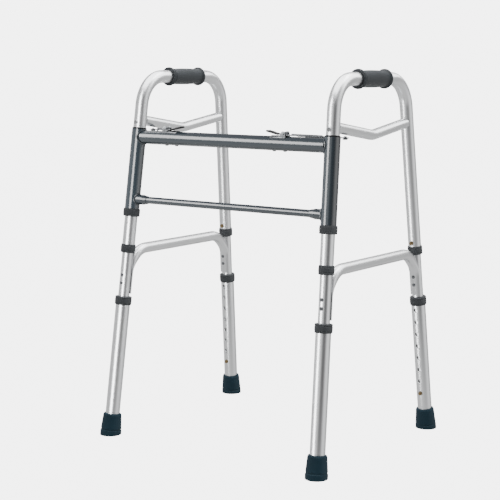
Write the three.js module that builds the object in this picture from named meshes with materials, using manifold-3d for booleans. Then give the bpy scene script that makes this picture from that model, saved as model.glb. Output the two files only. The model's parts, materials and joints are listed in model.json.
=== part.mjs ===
// Folding walking frame of aluminium tube: a painted front frame carries two side frames in hinge
// sleeves, and four telescopic legs slide on snap buttons.
// Millimetres, +Z up, -Y is the front, the origin lies on the floor midway between the four feet.
import * as THREE from "three";
import { mergeVertices } from "three/addons/utils/BufferGeometryUtils.js";
import Module from "manifold-3d";

const wasm = await Module();
wasm.setup();

// ---------------------------------------------------------------- driving dimensions
const HALF_WIDTH = 245.3; // middle plane of a side frame at the floor
const HALF_DEPTH = 210.9; // leg axis at the floor, fore and aft
const LEAN = THREE.MathUtils.degToRad(6.64); // legs lean towards each other, fore and aft
const SPLAY = THREE.MathUtils.degToRad(1.92); // side frames lean inwards
const TOE = THREE.MathUtils.degToRad(0.41); // side frames open towards the back
const GAP = 0.3; // air between pieces that touch

const UPPER = { outer: 12.7, inner: 11.4, bottom: 369.5 }; // radii and height of the open ends
const MID = { outer: 11.1, inner: 9.8, bottom: 62 };
const LEG = { outer: 14.3, inner: 12.8, bottom: 10.5, top: 273.8 };
const SLEEVE = { outer: 14.6, inner: 13.7, bottom: 442, top: 610 };
const RUNNING = 13.05; // bore that turns on the upper tube

const TOP_HEIGHT = 713; // axis of the tube in the hand grip
const TOP_BEND = 62;
const GRIP = { length: 102.4, flange: 18.9, neck: 14.9, belly: 16.3, flangeWidth: 5 };

const SIDE_BAR = { radius: 10, inner: 8.6, ends: 626.7, kink: 608.7, bend: 70 };
const SCREW = { shank: 2.6, head: 4.6, height: 624.3 };
const BRACE = { radius: 10.6, inner: 9.2, height: 368.8, bottom: 282.5, offset: 11.6, bend: 48 };
const BRACE_RIVETS = [304.5, 320.5]; // heights
const RIVET = { shank: 2.2, head: 3.7, rise: 1.6 };

const CROSSBAR = { radius: 13.4, inner: 12.1, height: 594.4 };
const LOWER_BAR = { radius: 7, inner: 5.8, height: 471.4 };
const SADDLE = { radius: 9.8, neck: 7.9, length: 24 };

const COLLAR_HEIGHT = 17;
const UPPER_COLLAR = { radius: 14.8, bottom: 364.8 };
const LEG_COLLAR = { radius: 16.8, bottom: 261 };
const SLEEVE_COLLAR = { radius: 16.7, bottom: 437.3, top: 452.8 };
const BUSH_TOP = 612.7;
const FOOT = { bottom: 21.2, top: 18.4, height: 42.3 };

const HOLE_PITCH = 25;
const HOLE_COUNT = 8;
const LOWEST_HOLE = 77.4;
const BUTTON = { radius: 3.8, hole: 4.3, proud: 4.2, base: 4.8 };
const UPPER_BUTTON = { front: 428.5, rear: 389 }; // heights of the buttons in the upper tubes

const LOCK = {
  bracketX: { left: 140.5, right: 111 }, // the two locks are staggered along the crossbar
  rivetHalfPitch: 12,
  plate: 1.3,
  bottom: 610,
  width: 12,
  pivotPin: 1.8,
  behind: 43, // lock pin behind the hinge axis
  pin: 3,
  tabRise: THREE.MathUtils.degToRad(12),
  droop: THREE.MathUtils.degToRad(2), // the strip falls away from the pivot
};
const LOCK_PIVOT = LOCK.bottom + LOCK.plate + LOCK.pivotPin; // height of the levers' pivots
const EAR_OUT = 8; // the bracket's ears, fore and aft of the crossbar's axis

const SIDES = 16; // facets round a tube

const SIDE = { left: -1, right: 1 };
const END = { front: -1, rear: 1 };

// ---------------------------------------------------------------- materials
const finish = (color, roughness, metalness) => () =>
  new THREE.MeshStandardMaterial({ color, roughness, metalness });
const aluminium = finish(0xd4d7da, 0.28, 0.9);
const paintedSteel = finish(0x5d6b76, 0.25, 0.5);
const darkPlastic = finish(0x2c3034, 0.55, 0.0);
const gripPlastic = finish(0x3d4348, 0.6, 0.0);
const rubber = finish(0x274450, 0.75, 0.0);
const brass = finish(0x9a7a45, 0.35, 0.9);
const plainSteel = finish(0x9da1a5, 0.35, 0.9);

// ---------------------------------------------------------------- solids and booleans
function solid(geometry) {
  const bare = geometry.clone();
  bare.deleteAttribute("normal");
  bare.deleteAttribute("uv");
  const merged = mergeVertices(bare, 1e-3);
  return new wasm.Manifold(
    new wasm.Mesh({
      numProp: 3,
      vertProperties: merged.attributes.position.array,
      triVerts: new Uint32Array(merged.index.array),
    }),
  );
}

function geometryOf(manifold) {
  const mesh = manifold.getMesh();
  const geometry = new THREE.BufferGeometry();
  geometry.setAttribute("position", new THREE.BufferAttribute(mesh.vertProperties, 3));
  geometry.setIndex(new THREE.BufferAttribute(mesh.triVerts, 1));
  return geometry;
}

const cut = (body, ...tools) =>
  geometryOf(tools.reduce((left, tool) => left.subtract(solid(tool)), solid(body)));
const join = (body, ...others) =>
  geometryOf(others.reduce((sum, other) => sum.add(solid(other)), solid(body)));
const common = (body, other) => geometryOf(solid(body).intersect(solid(other)));

// The mirror image across x = 0; its triangles are turned round so that they still face outwards.
function mirrored(geometry) {
  geometry.scale(-1, 1, 1);
  geometry.index.array.reverse();
  return geometry;
}

// A solid of revolution about Z. The profile is [radius, z] pairs: up the outside, down the inside.
function turned(profile, sides = SIDES) {
  const points = profile.map(([radius, z]) => new THREE.Vector2(radius, z));
  return new THREE.LatheGeometry(points, sides).rotateX(Math.PI / 2);
}

// A ring or a sleeve about Z: profile points outside and inside, closed on itself.
const ring = (profile, sides) => turned([...profile, profile[0]], sides);

const pipe = (outer, inner, low, high) =>
  ring([[outer, low], [outer, high], [inner, high], [inner, low]]);

const rod = (radius, low, high, sides = SIDES) =>
  turned([[0, low], [radius, low], [radius, high], [0, high]], sides);

const alongX = (geometry) => geometry.rotateY(Math.PI / 2);
// Turns a piece made along Z so that it points along +Y or -Y.
const alongY = (geometry, direction = 1) => geometry.rotateX((-direction * Math.PI) / 2);

const block = (width, depth, height) => new THREE.BoxGeometry(width, depth, height);

// A path with one step for each of its stations, so that a straight run costs one step.
class Stations extends THREE.Curve {
  constructor(points) {
    super();
    this.points = points;
  }
  getPoint(t) {
    const place = t * (this.points.length - 1);
    const index = Math.min(Math.floor(place + 1e-6), this.points.length - 2);
    return this.points[index].clone().lerp(this.points[index + 1], place - index);
  }
  getPointAt(t) {
    return this.getPoint(t);
  }
  getTangentAt(t) {
    const last = this.points.length - 1;
    const index = Math.round(t * last);
    const before = this.points[Math.max(index - 1, 0)];
    const here = this.points[index];
    const after = this.points[Math.min(index + 1, last)];
    const incoming = here.clone().sub(before).normalize();
    const outgoing = after.clone().sub(here).normalize();
    return incoming.add(outgoing).normalize();
  }
}

// Stations of a bent tube in the plane x = 0: straight runs between [y, z] corners, an arc of the
// given radius at each inner corner.
function bentPath(corners, radius, arcSteps) {
  const corner = corners.map(([y, z]) => new THREE.Vector3(0, y, z));
  const stations = [corner[0]];
  for (let i = 1; i < corner.length - 1; i += 1) {
    const back = corner[i - 1].clone().sub(corner[i]).normalize();
    const ahead = corner[i + 1].clone().sub(corner[i]).normalize();
    const half = back.angleTo(ahead) / 2;
    const bisector = back.clone().add(ahead).normalize();
    const centre = corner[i].clone().addScaledVector(bisector, radius / Math.sin(half));
    const start = corner[i].clone().addScaledVector(back, radius / Math.tan(half)).sub(centre);
    const turn = new THREE.Vector3().crossVectors(back, ahead).normalize();
    const sweep = Math.PI - 2 * half;
    for (let step = 0; step <= arcSteps; step += 1) {
      const spoke = start.clone().applyAxisAngle(turn, (-sweep * step) / arcSteps);
      stations.push(spoke.add(centre));
    }
  }
  stations.push(corner[corner.length - 1]);
  return new Stations(stations);
}

function circle(outer, inner = 0) {
  const shape = new THREE.Shape().absarc(0, 0, outer, 0, 2 * Math.PI);
  if (inner > 0) shape.holes.push(new THREE.Path().absarc(0, 0, inner, 0, 2 * Math.PI));
  return shape;
}

const bentTube = (path, outer, inner = 0) =>
  new THREE.ExtrudeGeometry(circle(outer, inner), {
    steps: path.points.length - 1,
    curveSegments: SIDES / 2,
    bevelEnabled: false,
    extrudePath: path,
  });

// A flat plate in the XZ plane, thickness along Y about y = 0.
const plateXZ = (shape, thickness) =>
  new THREE.ExtrudeGeometry(shape, { depth: thickness, bevelEnabled: false, curveSegments: 5 })
    .rotateX(Math.PI / 2)
    .translate(0, thickness / 2, 0);

// ---------------------------------------------------------------- frames of reference
const walker = new THREE.Group();

// A side frame's own frame: its middle plane is x = 0, y runs aft, z runs up the splayed plane.
function sideFrame(side) {
  const group = new THREE.Group();
  group.position.set(SIDE[side] * HALF_WIDTH, 0, 0);
  group.rotation.set(0, -SIDE[side] * SPLAY, -SIDE[side] * TOE, "ZYX");
  walker.add(group);
  return group;
}

// A leg's own frame inside its side frame: z runs up the tube's axis from the floor.
function legFrame(parent, end) {
  const group = new THREE.Group();
  group.position.set(0, END[end] * HALF_DEPTH, 0);
  group.rotation.x = END[end] * LEAN;
  parent.add(group);
  return group;
}

const frames = {};
for (const side of ["left", "right"]) {
  const whole = sideFrame(side);
  frames[side] = { whole, front: legFrame(whole, "front"), rear: legFrame(whole, "rear") };
}
walker.updateMatrixWorld(true);

// Distance along a leg's axis to a height above the floor.
const up = (height) => height / (Math.cos(LEAN) * Math.cos(SPLAY));
// The same height in the plane of a side frame, and the leg axis there, fore or aft of the middle.
const inPlane = (height) => height / Math.cos(SPLAY);
const axisY = (end, height) => END[end] * (HALF_DEPTH - inPlane(height) * Math.tan(LEAN));

// The point of a hinge axis at a height above the floor, in the walker's frame.
function hingePoint(side, height) {
  return new THREE.Vector3(0, 0, up(height)).applyMatrix4(frames[side].front.matrixWorld);
}

function add(parent, name, geometry, material) {
  const mesh = new THREE.Mesh(geometry, material());
  mesh.name = name;
  parent.add(mesh);
}

// A tool or piece made in a leg's frame, moved to the frame of its side or of the walker.
const legToSide = (side, end, geometry) => geometry.applyMatrix4(frames[side][end].matrix);
const legToWalker = (side, end, geometry) =>
  geometry.applyMatrix4(frames[side][end].matrixWorld);

// ---------------------------------------------------------------- front frame
const crossbarY = hingePoint("right", CROSSBAR.height).y;
const lowerBarY = hingePoint("right", LOWER_BAR.height).y;

const sleeveSpace = (side) =>
  legToWalker(side, "front", rod(SLEEVE.outer + GAP, up(400), up(650)));

// Where the bracket's rivets pass, and the lever's pivot, which stands over the outer rivet.
const rivetX = (side, place) =>
  SIDE[side] * (LOCK.bracketX[side] + place * LOCK.rivetHalfPitch);
const pivotX = (side) => rivetX(side, 1);

function mainCrossbar() {
  const half = hingePoint("right", CROSSBAR.height).x;
  const tube = alongX(pipe(CROSSBAR.radius, CROSSBAR.inner, -half, half)).translate(
    0,
    crossbarY,
    CROSSBAR.height,
  );
  const tools = [sleeveSpace("left"), sleeveSpace("right")];
  for (const side of ["left", "right"])
    for (const place of [-1, 1])
      tools.push(
        rod(RIVET.shank + GAP, -20, 20, 8).translate(
          rivetX(side, place),
          crossbarY,
          CROSSBAR.height,
        ),
      );
  return cut(tube, ...tools);
}

function lowerCrossbar() {
  const half = hingePoint("right", LOWER_BAR.height).x - SLEEVE.outer - 3;
  return alongX(pipe(LOWER_BAR.radius, LOWER_BAR.inner, -half, half)).translate(
    0,
    lowerBarY,
    LOWER_BAR.height,
  );
}

// The socket that holds an end of the lower bar against its sleeve.
function lowerBarSaddle(side) {
  const centre = hingePoint(side, LOWER_BAR.height);
  const reach = SLEEVE.outer + SADDLE.length;
  const bore = LOWER_BAR.radius + GAP;
  const socket = ring([
    [SADDLE.radius, 4],
    [SADDLE.radius, reach - 9],
    [SADDLE.neck, reach],
    [bore, reach],
    [bore, 4],
  ]);
  socket.rotateY((-SIDE[side] * Math.PI) / 2).translate(centre.x, centre.y, centre.z);
  return cut(socket, sleeveSpace(side));
}

const hingeSleeve = () =>
  pipe(SLEEVE.outer, SLEEVE.inner, up(SLEEVE.bottom), up(SLEEVE.top));

// Flanged bush in the sleeve's top end.
function sleeveBush() {
  const seat = up(SLEEVE.top) + GAP;
  const spigot = SLEEVE.inner - GAP;
  return ring([
    [spigot, seat - 14],
    [spigot, seat],
    [SLEEVE.outer - 0.4, seat],
    [SLEEVE.outer - 0.4, up(BUSH_TOP) - 0.8],
    [SLEEVE.outer - 1.2, up(BUSH_TOP)],
    [RUNNING, up(BUSH_TOP)],
    [RUNNING, seat - 14],
  ]);
}

// Cup-shaped collar round the sleeve's bottom end.
function sleeveCollar() {
  const low = up(SLEEVE_COLLAR.bottom);
  const high = up(SLEEVE_COLLAR.top);
  const seat = up(SLEEVE.bottom) - GAP;
  const radius = SLEEVE_COLLAR.radius;
  return ring([
    [radius - 1.2, low],
    [radius, low + 1.2],
    [radius, high - 5],
    [radius - 0.7, high],
    [SLEEVE.outer + GAP, high],
    [SLEEVE.outer + GAP, seat],
    [RUNNING, seat],
    [RUNNING, low],
  ]);
}

// Saddle with two ears for the lever's pivot, and its two rivets through the crossbar.
function leverBracket(side) {
  const length = 2 * (LOCK.rivetHalfPitch + 5);
  const skin = alongX(
    pipe(CROSSBAR.radius + GAP + LOCK.plate, CROSSBAR.radius + GAP, -length / 2, length / 2),
  );
  const saddle = common(skin, block(length, 17.6, 20).translate(0, 0, 14));
  const pivotRise = LOCK_PIVOT - CROSSBAR.height;
  const pivot = SIDE[side] * LOCK.rivetHalfPitch;
  const ear = new THREE.Shape()
    .moveTo(-6, 12)
    .lineTo(6, 12)
    .lineTo(4.4, pivotRise)
    .absarc(0, pivotRise, 4.4, 0, Math.PI)
    .lineTo(-6, 12);
  const pieces = [-EAR_OUT, EAR_OUT].map((y) => plateXZ(ear, LOCK.plate).translate(pivot, y, 0));
  const tail = -CROSSBAR.radius - GAP;
  for (const place of [-1, 1])
    pieces.push(
      turned(
        [
          [0, tail - 1.8],
          [2.4, tail - 1.8],
          [RIVET.head, tail - 0.6],
          [RIVET.head, tail],
          [RIVET.shank, tail],
          [RIVET.shank, CROSSBAR.radius + GAP + LOCK.plate - 0.2],
          [0, CROSSBAR.radius + GAP + LOCK.plate - 0.2],
        ],
        8,
      ).translate(place * LOCK.rivetHalfPitch, 0, 0),
    );
  const bore = alongY(rod(LOCK.pivotPin + GAP, -12, 12, 12)).translate(pivot, 0, pivotRise);
  return cut(join(saddle, ...pieces), bore).translate(
    SIDE[side] * LOCK.bracketX[side],
    crossbarY,
    CROSSBAR.height,
  );
}

function leverPivotPin(side) {
  const ends = EAR_OUT + LOCK.plate / 2 + GAP;
  return alongY(
    turned(
      [
        [0, -ends - 1.2],
        [3, -ends - 1.2],
        [3, -ends],
        [LOCK.pivotPin, -ends],
        [LOCK.pivotPin, ends],
        [3, ends],
        [3, ends + 1.2],
        [0, ends + 1.2],
      ],
      12,
    ),
  ).translate(pivotX(side), crossbarY, LOCK_PIVOT);
}

// ---------------------------------------------------------------- fold lock levers
// The lock pin's place under the side bar, seen from the lever's pivot.
function lockPinPlace(side) {
  const foot = inPlane(LOCK.bottom);
  const place = new THREE.Vector3(0, axisY("front", LOCK.bottom) + LOCK.behind, foot);
  return place.applyMatrix4(frames[side].whole.matrixWorld);
}

// Seesaw: a finger tab on the inside of the pivot, a slanting strip to the lock pin outside it.
// It is made for the right side, +X outwards, and mirrored for the left one.
function releaseLever(side) {
  const pin = lockPinPlace(side);
  const reach = Math.abs(pin.x - pivotX(side));
  const back = pin.y - crossbarY;
  const slant = Math.atan2(back, reach);
  const half = LOCK.width / 2;
  const round = 7.6;
  const sine = Math.sin(slant);
  const cosine = Math.cos(slant);
  const outline = new THREE.Shape();
  outline.moveTo(-13, -half);
  outline.lineTo(8, -half);
  outline.lineTo(reach + half * sine, back - half * cosine);
  outline.absarc(reach, back, round, slant - 1, slant + 1);
  outline.lineTo(reach - half * sine, back + half * cosine);
  outline.lineTo(7, half);
  outline.lineTo(-13, half);
  const strip = new THREE.ExtrudeGeometry(outline, {
    depth: LOCK.plate,
    bevelEnabled: false,
    curveSegments: 4,
  }).rotateY(LOCK.droop);
  const tabOutline = new THREE.Shape();
  tabOutline.moveTo(1, -half);
  tabOutline.lineTo(1, half);
  tabOutline.lineTo(-6, half + 1.5);
  tabOutline.lineTo(-22, half + 1.5);
  tabOutline.absarc(-22, 0, half + 1.5, Math.PI / 2, (3 * Math.PI) / 2);
  tabOutline.lineTo(-6, -half - 1.5);
  const tab = new THREE.ExtrudeGeometry(tabOutline, {
    depth: 2.6,
    bevelEnabled: false,
    curveSegments: 4,
  })
    .rotateY(LOCK.tabRise)
    .translate(-12.6, 0, 0.1);
  const axisAbove = LOCK_PIVOT - LOCK.bottom;
  const eye = alongY(rod(3.4, -5.5, 5.5, 12)).translate(0, 0, axisAbove);
  const bore = alongY(rod(LOCK.pivotPin + 0.35, -9, 9, 12)).translate(0, 0, axisAbove);
  const pinHole = rod(LOCK.pin + GAP, -8, 4, 12).translate(reach, back, 0);
  const lever = cut(join(strip, tab, eye), bore, pinHole);
  const handed = side === "left" ? mirrored(lever) : lever;
  return handed.translate(pivotX(side), crossbarY, LOCK.bottom);
}

// Headed pin riveted in the lever's outer end. Its tip stops just under its hole in the side bar.
function lockPin(side) {
  const place = lockPinPlace(side);
  const slope = (SIDE_BAR.ends - SIDE_BAR.kink) / axisY("rear", SIDE_BAR.ends);
  const barAxis = SIDE_BAR.ends - (LOCK.behind + LOCK.pin) * slope;
  const tip = barAxis - SIDE_BAR.radius * 1.01 - 0.5;
  const reach = Math.abs(place.x - pivotX(side));
  const head = LOCK.bottom - reach * Math.sin(LOCK.droop) - GAP - 0.3;
  return turned(
    [
      [0, head - 2.6],
      [3.6, head - 2.6],
      [5, head - 1.4],
      [5, head],
      [LOCK.pin, head],
      [LOCK.pin, tip - 0.6],
      [LOCK.pin - 0.8, tip],
      [0, tip],
    ],
    12,
  ).translate(place.x, place.y, 0);
}

// ---------------------------------------------------------------- side frames
function upperTube() {
  const top = inPlane(TOP_HEIGHT);
  const foot = inPlane(UPPER.bottom);
  const corners = [
    [axisY("front", UPPER.bottom), foot],
    [axisY("front", TOP_HEIGHT), top],
    [axisY("rear", TOP_HEIGHT), top],
    [axisY("rear", UPPER.bottom), foot],
  ];
  const tube = bentTube(bentPath(corners, TOP_BEND, 5), UPPER.outer, UPPER.inner);
  const tools = ["front", "rear"].map((end) =>
    legToSide("right", end, buttonHole(up(UPPER_BUTTON[end]), end, UPPER.outer)),
  );
  tools.push(screwSpace());
  return cut(tube, ...tools);
}

function handGrip() {
  const half = GRIP.length / 2;
  const bore = UPPER.outer + GAP;
  const flange = GRIP.flangeWidth;
  return alongY(
    ring(
      [
        [GRIP.flange - 1.4, -half],
        [GRIP.flange, -half + 1.4],
        [GRIP.flange, -half + flange - 1],
        [GRIP.neck, -half + flange + 1],
        [GRIP.neck, -half + flange + 5],
        [GRIP.belly - 0.5, -half / 3],
        [GRIP.belly, 0],
        [GRIP.belly - 0.5, half / 3],
        [GRIP.neck, half - flange - 5],
        [GRIP.neck, half - flange - 1],
        [GRIP.flange, half - flange + 1],
        [GRIP.flange, half - 1.4],
        [GRIP.flange - 1.4, half],
        [bore, half],
        [bore, -half],
      ],
    ),
  ).translate(0, 0, inPlane(TOP_HEIGHT));
}

// Shallow V between the uprights, its ends coped round them, with the lock pin's hole below.
function sideBar(side) {
  const ends = inPlane(SIDE_BAR.ends);
  const corners = [
    [axisY("front", SIDE_BAR.ends), ends],
    [0, inPlane(SIDE_BAR.kink)],
    [axisY("rear", SIDE_BAR.ends), ends],
  ];
  const tube = bentTube(bentPath(corners, SIDE_BAR.bend, 2), SIDE_BAR.radius, SIDE_BAR.inner);
  const upright = (end) =>
    legToSide(side, end, rod(UPPER.outer + GAP, up(560), up(690)));
  const pin = lockPinPlace(side).applyMatrix4(frames[side].whole.matrixWorld.clone().invert());
  const pinHole = rod(LOCK.pin + 1.2, -12, 12, 12).translate(pin.x, pin.y, pin.z);
  return cut(tube, upright("front"), upright("rear"), pinHole, screwSpace());
}

// The screw lies along the side bar's front end, through the upright.
function screwPlace(geometry) {
  return alongY(geometry, 1).translate(
    0,
    axisY("front", SCREW.height),
    inPlane(SCREW.height) - 0.3,
  );
}

const screwSpace = () => screwPlace(rod(SCREW.shank + GAP, -20, 40, 12));

function sideBarScrew() {
  const seat = -UPPER.outer - GAP - 0.7;
  return screwPlace(
    turned(
      [
        [0, seat - 1.9],
        [2.6, seat - 1.8],
        [4, seat - 1.1],
        [SCREW.head, seat],
        [SCREW.shank, seat],
        [SCREW.shank, 30],
        [0, 30],
      ],
      12,
    ),
  );
}

// ---------------------------------------------------------------- legs
// A button's hole in one wall of a leg tube, on the side that faces the walker's middle.
function buttonHole(along, end, wall, radius = BUTTON.hole) {
  const direction = -END[end];
  return alongY(rod(radius, wall - 6, wall + 3, 8), direction).translate(0, 0, along);
}

function midTube(end) {
  const top = up(UPPER_BUTTON[end] + 18);
  const tools = [
    buttonHole(up(UPPER_BUTTON[end]), end, MID.outer),
    buttonHole(up(LOWEST_HOLE), end, MID.outer),
  ];
  for (const height of BRACE_RIVETS)
    tools.push(alongY(rod(RIVET.shank + GAP, -20, 20, 8)).translate(0, 0, up(height)));
  return cut(pipe(MID.outer, MID.inner, up(MID.bottom), top), ...tools);
}

// Collar round the open end of a tube, closed down to the tube that slides or sits inside it.
function tubeCollar({ radius, bottom }, outside, inside, mouthUp) {
  const low = up(bottom);
  const high = low + COLLAR_HEIGHT;
  const lip = 3.6;
  if (mouthUp)
    return ring([
      [radius - 0.9, low],
      [radius, low + 0.9],
      [radius, high - 1.6],
      [radius - 1.6, high],
      [inside, high],
      [inside, high - lip],
      [outside, high - lip],
      [outside, low],
    ]);
  return ring([
    [radius - 1.6, low],
    [radius, low + 1.6],
    [radius, high - 0.9],
    [radius - 0.9, high],
    [outside, high],
    [outside, low + lip],
    [inside, low + lip],
    [inside, low],
  ]);
}

const upperCollar = () =>
  tubeCollar(UPPER_COLLAR, UPPER.outer + GAP, MID.outer + GAP, false);
const legCollar = () => tubeCollar(LEG_COLLAR, LEG.outer + GAP, MID.outer + GAP, true);

function legTube(end) {
  const tools = [];
  for (let hole = 0; hole < HOLE_COUNT; hole += 1) {
    const along = up(LOWEST_HOLE) + hole * HOLE_PITCH;
    tools.push(buttonHole(along, end, LEG.outer));
  }
  return cut(pipe(LEG.outer, LEG.inner, up(LEG.bottom), up(LEG.top)), ...tools);
}

// Rubber ferrule, cut level with the floor although the leg leans.
function foot(side, end) {
  const rubberFoot = turned([
    [0, -4],
    [FOOT.bottom, -4],
    [FOOT.bottom, 7],
    [FOOT.bottom - 1.4, 11],
    [FOOT.top + 0.6, up(FOOT.height) - 3],
    [FOOT.top - 0.6, up(FOOT.height)],
    [LEG.outer + GAP, up(FOOT.height)],
    [LEG.outer + GAP, up(LEG.bottom) - GAP],
    [0, up(LEG.bottom) - GAP],
  ]);
  const toLeg = frames[side][end].matrixWorld.clone().invert();
  const { x, y } = new THREE.Vector3().applyMatrix4(frames[side][end].matrixWorld);
  const floor = block(120, 120, 40).translate(x, y, -20).applyMatrix4(toLeg);
  return cut(rubberFoot, floor);
}

// Snap button on its V-shaped leaf spring: the leaf lies along the tube, away from the tube's end.
function snapButton(end, height, outerWall, leafUp) {
  const tip = outerWall + BUTTON.proud;
  const seat = 8;
  const head = turned(
    [
      [0, seat - 1.4],
      [BUTTON.base, seat - 1.4],
      [BUTTON.base, seat - 0.2],
      [BUTTON.radius, seat - 0.2],
      [BUTTON.radius, tip - 1],
      [BUTTON.radius * 0.6, tip],
      [0, tip + 0.3],
    ],
    12,
  );
  const leaf = new THREE.Shape()
    .moveTo(3, seat - 1.3)
    .lineTo(-24, 0.9)
    .lineTo(-4, -3.2)
    .lineTo(-4, -4.1)
    .lineTo(-27, 0.8)
    .lineTo(3, seat - 0.4);
  const run = leafUp ? -1 : 1;
  const spring = new THREE.ExtrudeGeometry(leaf, { depth: 5, bevelEnabled: false })
    .translate(0, 0, -2.5)
    .rotateY(-run * (Math.PI / 2));
  // The head is made along Z and the leaf in the XY plane: bring both into the leg's frame.
  const button = join(alongY(head, 1), spring);
  if (END[end] > 0) button.rotateZ(Math.PI);
  return button.translate(0, 0, up(height));
}

// ---------------------------------------------------------------- brace
function brace(side) {
  const top = inPlane(BRACE.height);
  const low = inPlane(BRACE.bottom);
  const corners = [
    [axisY("front", BRACE.bottom) + BRACE.offset, low],
    [axisY("front", BRACE.height) + BRACE.offset, top],
    [axisY("rear", BRACE.height) - BRACE.offset, top],
    [axisY("rear", BRACE.bottom) - BRACE.offset, low],
  ];
  const tube = bentTube(bentPath(corners, BRACE.bend, 4), BRACE.radius, BRACE.inner);
  const tools = [];
  for (const end of ["front", "rear"]) {
    tools.push(legToSide(side, end, rod(MID.outer + GAP, up(240), up(363))));
    for (const height of BRACE_RIVETS)
      tools.push(
        legToSide(
          side,
          end,
          alongY(rod(RIVET.shank + GAP, -40, 40, 8)).translate(0, 0, up(height)),
        ),
      );
  }
  return cut(tube, ...tools);
}

// The two rivets of one brace end, joined by a web inside the leg tube.
function braceRivets(end) {
  const outside = -MID.outer - GAP;
  const inside = BRACE.offset + BRACE.radius + 0.6;
  const rivet = () =>
    alongY(
      turned(
        [
          [0, outside - RIVET.rise],
          [2.2, outside - RIVET.rise + 0.2],
          [RIVET.head, outside],
          [RIVET.shank, outside],
          [RIVET.shank, inside],
          [RIVET.head, inside],
          [2.2, inside + RIVET.rise],
          [0, inside + RIVET.rise + 0.1],
        ],
        8,
      ),
      1,
    );
  const [low, high] = BRACE_RIVETS.map(up);
  const web = block(1.6, 5, high - low).translate(0, 0, (low + high) / 2);
  const pair = join(rivet().translate(0, 0, low), rivet().translate(0, 0, high), web);
  return END[end] > 0 ? pair.rotateZ(Math.PI) : pair;
}

// ---------------------------------------------------------------- assembly
add(walker, "main_crossbar", mainCrossbar(), paintedSteel);
add(walker, "lower_crossbar", lowerCrossbar(), paintedSteel);

for (const side of ["left", "right"]) {
  const { whole, front } = frames[side];
  add(walker, `lower_bar_saddle_${side}`, lowerBarSaddle(side), paintedSteel);
  add(front, `hinge_sleeve_${side}`, hingeSleeve(), paintedSteel);
  add(front, `sleeve_bush_${side}`, sleeveBush(), darkPlastic);
  add(front, `sleeve_collar_${side}`, sleeveCollar(), darkPlastic);
  add(walker, `lever_bracket_${side}`, leverBracket(side), plainSteel);
  add(walker, `lever_pivot_pin_${side}`, leverPivotPin(side), plainSteel);
  add(walker, `release_lever_${side}`, releaseLever(side), plainSteel);
  add(walker, `lock_pin_${side}`, lockPin(side), plainSteel);

  add(whole, `upper_tube_${side}`, upperTube(), aluminium);
  add(whole, `hand_grip_${side}`, handGrip(), gripPlastic);
  add(whole, `side_bar_${side}`, sideBar(side), aluminium);
  add(whole, `side_bar_screw_${side}`, sideBarScrew(), plainSteel);
  add(whole, `brace_${side}`, brace(side), aluminium);

  for (const end of ["front", "rear"]) {
    const leg = frames[side][end];
    const place = `${end}_${side}`;
    add(leg, `mid_tube_${place}`, midTube(end), aluminium);
    add(leg, `upper_collar_${place}`, upperCollar(), darkPlastic);
    add(leg, `brace_rivets_${place}`, braceRivets(end), plainSteel);
    add(leg, `leg_tube_${place}`, legTube(end), aluminium);
    add(leg, `leg_collar_${place}`, legCollar(), darkPlastic);
    add(leg, `foot_${place}`, foot(side, end), rubber);
    add(
      leg,
      `upper_button_${place}`,
      snapButton(end, UPPER_BUTTON[end], UPPER.outer, false),
      brass,
    );
    add(
      leg,
      `height_button_${place}`,
      snapButton(end, LOWEST_HOLE, LEG.outer, true),
      brass,
    );
  }
}

export default walker;
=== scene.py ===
"""Looks of the folding walking frame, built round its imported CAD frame. Metres, +Z up."""

import json
import math

import bmesh
import bpy
from mathutils import Matrix, Vector


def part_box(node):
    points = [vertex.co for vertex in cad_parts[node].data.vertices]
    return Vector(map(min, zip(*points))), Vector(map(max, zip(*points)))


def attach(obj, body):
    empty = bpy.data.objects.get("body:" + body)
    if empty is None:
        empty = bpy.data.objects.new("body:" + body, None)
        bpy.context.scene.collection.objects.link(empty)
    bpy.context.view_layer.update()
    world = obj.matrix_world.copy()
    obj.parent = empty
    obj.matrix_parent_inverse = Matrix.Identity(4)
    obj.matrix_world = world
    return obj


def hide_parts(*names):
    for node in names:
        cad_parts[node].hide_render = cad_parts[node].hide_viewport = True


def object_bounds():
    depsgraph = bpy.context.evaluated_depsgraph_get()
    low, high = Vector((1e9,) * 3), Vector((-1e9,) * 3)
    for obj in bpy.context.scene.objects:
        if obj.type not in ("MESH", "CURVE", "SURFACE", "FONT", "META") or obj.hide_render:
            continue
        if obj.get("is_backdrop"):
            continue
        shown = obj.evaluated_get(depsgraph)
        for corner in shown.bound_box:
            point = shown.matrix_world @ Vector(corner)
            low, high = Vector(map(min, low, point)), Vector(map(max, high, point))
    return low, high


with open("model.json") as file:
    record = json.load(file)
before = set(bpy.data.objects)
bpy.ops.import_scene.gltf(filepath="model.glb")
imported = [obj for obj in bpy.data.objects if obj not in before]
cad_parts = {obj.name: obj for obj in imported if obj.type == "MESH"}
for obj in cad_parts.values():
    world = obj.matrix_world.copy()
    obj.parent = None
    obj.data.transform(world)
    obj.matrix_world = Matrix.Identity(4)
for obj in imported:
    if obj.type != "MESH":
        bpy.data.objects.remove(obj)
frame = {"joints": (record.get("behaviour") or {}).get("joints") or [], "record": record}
cad_low, cad_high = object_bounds()

MM = 0.001
SIDES = {"left": -1, "right": 1}
ENDS = {"front": -1, "rear": 1}

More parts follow.
